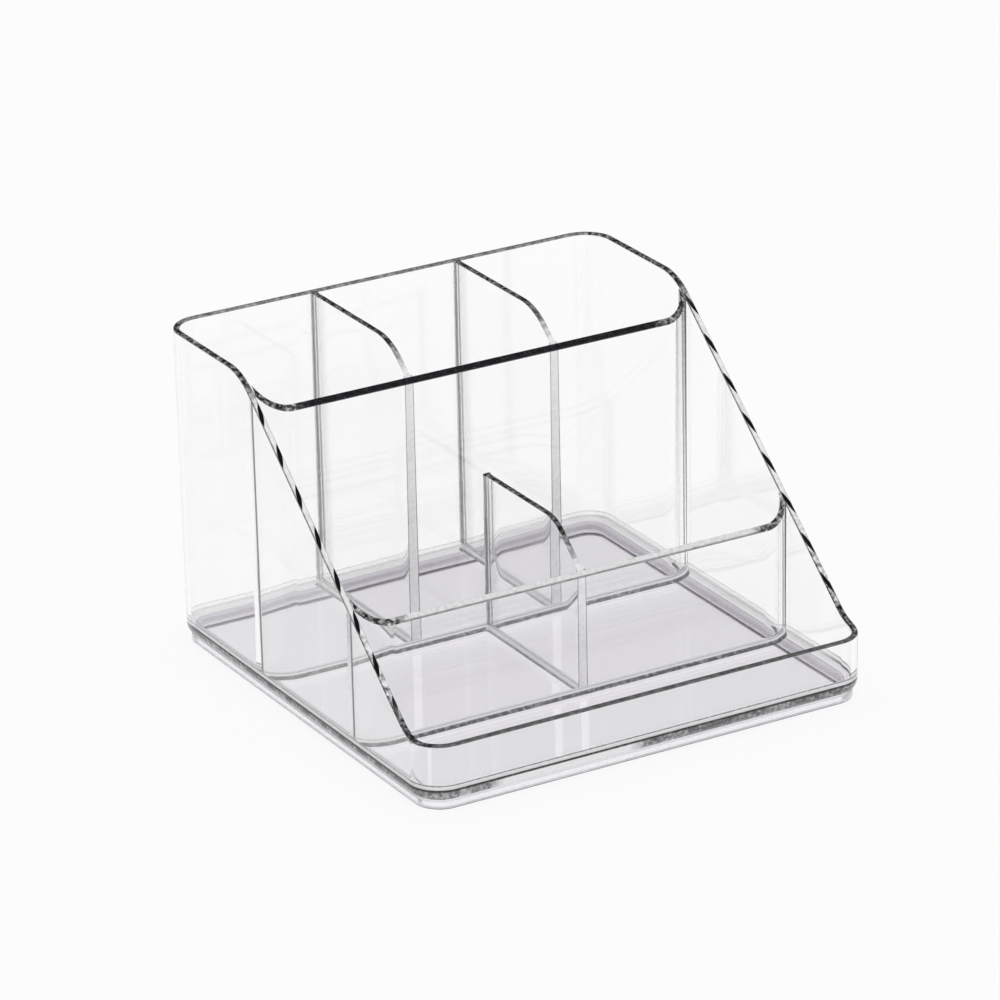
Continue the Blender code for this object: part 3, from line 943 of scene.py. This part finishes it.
@dataclass(kw_only=True)
class Divider(Upright):
    """Upright along the depth whose top follows the rim profile."""

    wall_x: float
    top: float
    bend: float
    end_fillet: float = 1.6 * MM
    end_steps: int = 8
    end_inner: tuple[float, float] = (0.78, 0.5)
    bend_steps: int = 14
    # Painted light and shade: the foot line is painted shade and the fillet above painted light; the white
    # front rim and front end face are painted light, the dark rim towards the back and the front end's
    # outline painted shade.
    foot_painted_shade: EdgeLook = EdgeLook(0.8, 0.47, 0.12)
    foot_painted_light: EdgeLook = EdgeLook(0.6, 0.97)
    line_height: float = 1.0 * MM
    front_rim: EdgeLook = EdgeLook(1.0, 0.97, 0.04)
    back_rim: EdgeLook = EdgeLook(1.0, 0.32, 0.22)
    rim_blend: tuple[float, float] = (3 * MM, 15 * MM)
    front_inside: EdgeLook = EdgeLook(1.0, 0.98, 0.02)
    front_outline: EdgeLook = EdgeLook(1.0, 0.3, 0.02)
    back_inside: EdgeLook = EdgeLook(0.9, 0.3, 0.02)
    back_outline: EdgeLook = EdgeLook(0.1, 0.3, 0.02)

    def build(self, name: str, back_end: Callable[[np.ndarray], np.ndarray],
              front_end: Callable[[np.ndarray], np.ndarray], finish: bpy.types.Material) -> bpy.types.Object:
        """Build the divider between two end faces.

        Its half thickness is the wall's, plus the draft below the top, plus the concave fillets at the
        foot and at both ends. Each end face has an inner ring, drawn in to its share of the thickness.
        The rim is painted, from white painted light at the front to dark painted shade towards the back,
        for its refractions. The front end face is painted white light inside a painted dark outline of
        shade, and the back end face is dark, as bonded ends are.

        Args:
            name: Name of the piece.
            back_end: Depth of the back end at a height.
            front_end: Depth of the front end at a height.
            finish: Material of the walls.

        Returns:
            The dressed piece.
        """
        s, profile = self.sizes, self.sizes.rim
        face, thin, level, hangs = self.section()
        heights = np.array([s.wall_bottom, self.top])
        low = float(front_end(heights).max()) + self.end_fillet + NEAR
        high = float(back_end(heights).min()) - self.end_fillet - NEAR
        inner = profile.stations(low, high, self.top, self.bend, self.bend_steps, self.spacing)
        end = np.append(0.0, self.end_fillet * np.linspace(0, 1, self.end_steps + 1) ** 2)
        kind = np.concatenate([np.ones(len(end)), np.zeros(len(inner)), -np.ones(len(end))])[:, None]
        step = np.concatenate([end, inner, end[::-1]])[:, None]
        cap = np.ones((len(step), 1))
        cap[0], cap[-1] = self.end_inner
        spread = np.where(kind == 0, 0.0, fillet(np.maximum(step, s.feather / 2), self.end_fillet))
        z = np.broadcast_to(np.where(hangs, self.top, s.wall_bottom + level), (len(step), len(face))).copy()
        for _ in range(WALL_PASSES):
            y = np.where(kind > 0, front_end(z) + step, np.where(kind < 0, back_end(z) - step, step))
            rim = profile.height(y, self.top, self.bend)
            z = np.where(hangs, rim - level, z)
        rise = z - s.wall_bottom
        half = (s.divider_wall / 2 + np.clip(self.top - z, 0, None) * math.tan(s.draft) - thin + spread
                + fillet(np.maximum(rise, s.feather), s.foot_fillet))
        x = self.wall_x + face * half * cap
        piece = mesh_piece(name, np.stack([x, y, z], axis=-1), False)
        fade = ramp(y - y.min(), *self.rim_blend)[:, :, None]
        looks = self.front_rim.array() * (1 - fade) + self.back_rim.array() * fade
        on_rim = (hangs & (level <= self.rim_round))[:, None]
        zone = np.where(on_rim, looks, self.foot_looks(level, hangs))
        zone[0], zone[1] = self.front_inside.array(), self.front_outline.array()
        zone[-1], zone[-2] = self.back_inside.array(), self.back_outline.array()
        mark(piece, "edge_zone", zone)
        return self.dress(piece, finish)


@dataclass
class Tray:
    """The whole tray: shared sizes, finishes and the eight pieces."""

    sizes: TraySizes
    rear_depth: float = 88.6 * MM
    middle_depth: float = 84.1 * MM
    front_divider_top: float = 88 * MM
    front_divider_bend: float = 22 * MM
    curl_reach: float = 6 * MM
    # Painted light: the white stretches of the seam band at the front. The rear wall's rim is painted black
    # shade and the front wall's rim painted pale light.
    white_stretches: tuple[float, ...] = (-100 * MM, -94 * MM, -84 * MM, -5 * MM)
    rear_rim: EdgeLook = EdgeLook(1.0, 0.1, 0.04)
    front_rim: EdgeLook = EdgeLook(1.0, 0.9, 0.04)

    @property
    def rear_wall_y(self) -> float:
        """Middle of the rear cross wall."""
        s = self.sizes
        return s.half_depth - s.shell_wall - self.rear_depth - s.cross_wall / 2

    @property
    def front_wall_y(self) -> float:
        """Middle of the front cross wall."""
        return self.rear_wall_y - self.middle_depth - self.sizes.cross_wall

    def cross_face(self, wall_y: float, sense: int) -> Callable[[np.ndarray], np.ndarray]:
        """Function of height for where a divider stops at a cross wall.

        Args:
            wall_y: Middle of the cross wall.
            sense: +1 behind the wall, -1 in front of it.

        Returns:
            The function.
        """
        s, profile = self.sizes, self.sizes.rim
        top = float(profile.height(np.array(wall_y), profile.back_height, profile.top_bend))

        def face(z: np.ndarray) -> np.ndarray:
            """Depth of the wall's face at a height, with the bond line."""
            foot = fillet(np.maximum(z - s.wall_bottom, s.feather), s.foot_fillet)
            return wall_y + sense * (s.cross_wall / 2 + np.clip(top - z, 0, None) * math.tan(s.draft)
                                     + foot + s.bond)

        return face

    def back_face(self, z: np.ndarray) -> np.ndarray:
        """Depth at which a divider stops at the shell's back wall, clear of the floor's cove."""
        s = self.sizes
        cove = fillet(np.maximum(z - s.floor_top - s.bond, 0.0), s.foot_fillet)
        return s.half_depth - s.shell_wall - s.lean(z) - s.bond - cove * (z < s.floor_top + s.cove_reach)

    def build(self) -> list[bpy.types.Object]:
        """Build and dress every piece.

        Returns:
            The pieces.
        """
        s, wall, base = self.sizes, Slot.WALL, Slot.BASE
        walls = ClearPlastic("Polished clear acrylic walls", tint="#fefefe", shade="#fdfdfd").material()
        floor = ClearPlastic("Polished clear acrylic base", tint="#fcfafd", shade="#f3f2f5").material()
        pocket = (2 * s.half_width - 2 * s.shell_wall - 2 * s.divider_wall) / 3
        divider_x = (pocket + s.divider_wall) / 2
        reach = s.cross_wall / 2 + self.curl_reach
        lines = (self.rear_wall_y + reach, self.front_wall_y + reach)
        shell = OuterShell(s, "outer_shell", wall, bond_lines=lines, front_marks=self.white_stretches)
        made = [shell.build(walls), FloorPlate(s, "floor_plate", base).build(floor),
                FootRing(s, "foot_ring", base).build(floor)]
        for node, name, y, look in (("rear_cross_wall", "clear_rear_wall", self.rear_wall_y, self.rear_rim),
                                    ("front_cross_wall", "clear_front_wall", self.front_wall_y,
                                     self.front_rim)):
            made.append(CrossWall(s, node, wall, wall_y=y, rim_look=look).build(name, walls))
        behind_rear = self.cross_face(self.rear_wall_y, 1)
        before_rear = self.cross_face(self.rear_wall_y, -1)
        behind_front = self.cross_face(self.front_wall_y, 1)
        for node, name, x in (("left_rear_divider", "clear_left_divider", -divider_x),
                              ("right_rear_divider", "clear_right_divider", divider_x)):
            tall = Divider(s, node, wall, wall_x=x, top=s.rim.back_height, bend=s.rim.top_bend)
            made.append(tall.build(name, self.back_face, behind_rear, walls))
        short = Divider(s, "front_divider", wall, wall_x=0.0, top=self.front_divider_top,
                        bend=self.front_divider_bend)
        made.append(short.build("clear_front_divider", before_rear, behind_front, walls))
        return made


@dataclass
class Studio:
    """White paper floor, soft light from all round and the photographed viewpoint.

    What the camera, gloss and clear pieces see of the paper is mostly its own white, paper_glow of it,
    and the rest is matte paper that keeps the tray's soft shadow. The world lights the tray at the
    light level, and gloss sees it fade from white at the horizon to a dark sky, which draws the walls.
    """

    floor_size: float = 6.0
    floor_drop: float = 0.2 * MM
    paper: str = "#f6f6f7"
    paper_glow: float = 0.8
    light_level: float = 0.95
    fade_heights: tuple[float, float] = (0.10, 0.30)
    dark_sky: float = 0.04
    lens: float = 212.435
    sensor: float = 36.0
    view_end: float = 20.0
    azimuth: float = -30.0459
    elevation: float = 22.5226
    roll: float = -1.1370
    position: tuple[float, float, float] = (-1.259756, -2.164205, 1.121844)

    def camera(self) -> None:
        """Make the camera. Its axes are right, up and back, turned about its line of sight by the roll."""
        a, e, q = (math.radians(v) for v in (self.azimuth, self.elevation, self.roll))
        back = np.array([math.sin(a) * math.cos(e), -math.cos(a) * math.cos(e), math.sin(e)])
        right = np.array([math.cos(a), math.sin(a), 0.0])
        up = np.cross(back, right)
        data = bpy.data.cameras.new("camera")
        data.lens = self.lens
        data.sensor_width = self.sensor
        data.clip_end = self.view_end
        matrix = np.eye(4)
        matrix[:3, 0] = math.cos(q) * right + math.sin(q) * up
        matrix[:3, 1] = math.cos(q) * up - math.sin(q) * right
        matrix[:3, 2] = back
        matrix[:3, 3] = self.position
        camera = bpy.data.objects.new("camera", data)
        camera.matrix_world = Matrix(matrix.tolist())
        bpy.context.scene.collection.objects.link(camera)
        bpy.context.scene.camera = camera

    def seen_white(self, tree: bpy.types.NodeTree) -> bpy.types.NodeSocket:
        """Add nodes that give 1 for rays from the camera, from gloss and from clear pieces.

        Args:
            tree: Node tree that gets the nodes.

        Returns:
            The socket.
        """
        path = add_node(tree, "LightPath")
        first = calc(tree, "MAXIMUM", path.outputs["Is Camera Ray"], path.outputs["Is Glossy Ray"])
        seen = calc(tree, "MAXIMUM", first, path.outputs["Is Transmission Ray"])
        fresh = calc(tree, "LESS_THAN", path.outputs["Diffuse Depth"], 0.5)
        return calc(tree, "MULTIPLY", seen, fresh)

    def floor(self) -> None:
        """Make the paper floor, a little below the tray's foot."""
        half = self.floor_size / 2
        z = -self.floor_drop
        mesh = bpy.data.meshes.new("studio_floor")
        mesh.from_pydata([(-half, -half, z), (half, -half, z), (half, half, z), (-half, half, z)], [],
                         [(0, 1, 2, 3)])
        made = bpy.data.materials.new("White paper")
        tree = clear_tree(made)
        matte = add_node(tree, "BsdfDiffuse", None, {"Color": linear(self.paper)})
        glow = add_node(tree, "Emission", None, {"Color": (1, 1, 1, 1), "Strength": 1.0})
        share = calc(tree, "MULTIPLY", self.seen_white(tree), self.paper_glow)
        mix = add_node(tree, "MixShader", None, {
            0: share, 1: matte.outputs[0], 2: glow.outputs[0]})
        add_node(tree, "OutputMaterial", None, {"Surface": mix.outputs[0]})
        mesh.materials.append(made)
        floor = bpy.data.objects.new("studio_floor", mesh)
        bpy.context.scene.collection.objects.link(floor)
        floor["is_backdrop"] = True

    def world(self) -> None:
        """Light everything softly from all round, and show the camera white where the world is seen."""
        world = bpy.data.worlds.new("Studio")
        bpy.context.scene.world = world
        tree = clear_tree(world)
        light = add_node(tree, "Background", None, {
            "Color": (1, 1, 1, 1), "Strength": self.light_level})
        place = add_node(tree, "TexCoord")
        height = add_node(tree, "SeparateXYZ", None, {0: place.outputs["Generated"]})
        fade = add_node(tree, "MapRange", {"interpolation_type": "SMOOTHSTEP"}, {
            "Value": height.outputs["Z"], "From Min": self.fade_heights[0],
            "From Max": self.fade_heights[1], "To Min": 1.0, "To Max": self.dark_sky})
        path = add_node(tree, "LightPath")
        level = calc(tree, "MAXIMUM", fade.outputs[0], path.outputs["Is Camera Ray"])
        white = add_node(tree, "Background", None, {
            "Color": (1, 1, 1, 1), "Strength": level})
        mix = add_node(tree, "MixShader", None, {
            0: self.seen_white(tree), 1: light.outputs[0], 2: white.outputs[0]})
        add_node(tree, "OutputWorld", None, {"Surface": mix.outputs[0]})

    def build(self) -> None:
        """Make the camera, the floor and the world."""
        self.camera()
        self.floor()
        self.world()
        bpy.context.scene.view_settings.view_transform = "Standard"


def main() -> None:
    """Build the tray and its studio."""
    logging.basicConfig(level=logging.INFO, format="%(name)s: %(message)s")
    cad_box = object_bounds()
    width = float(cad_box[1].x)
    depth = float(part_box("outer_shell")[1].y)
    Studio().build()
    made = Tray(TraySizes(half_width=width, half_depth=depth)).build()
    LOG.info("%d pieces", len(made))


if __name__ == "__main__":
    main()
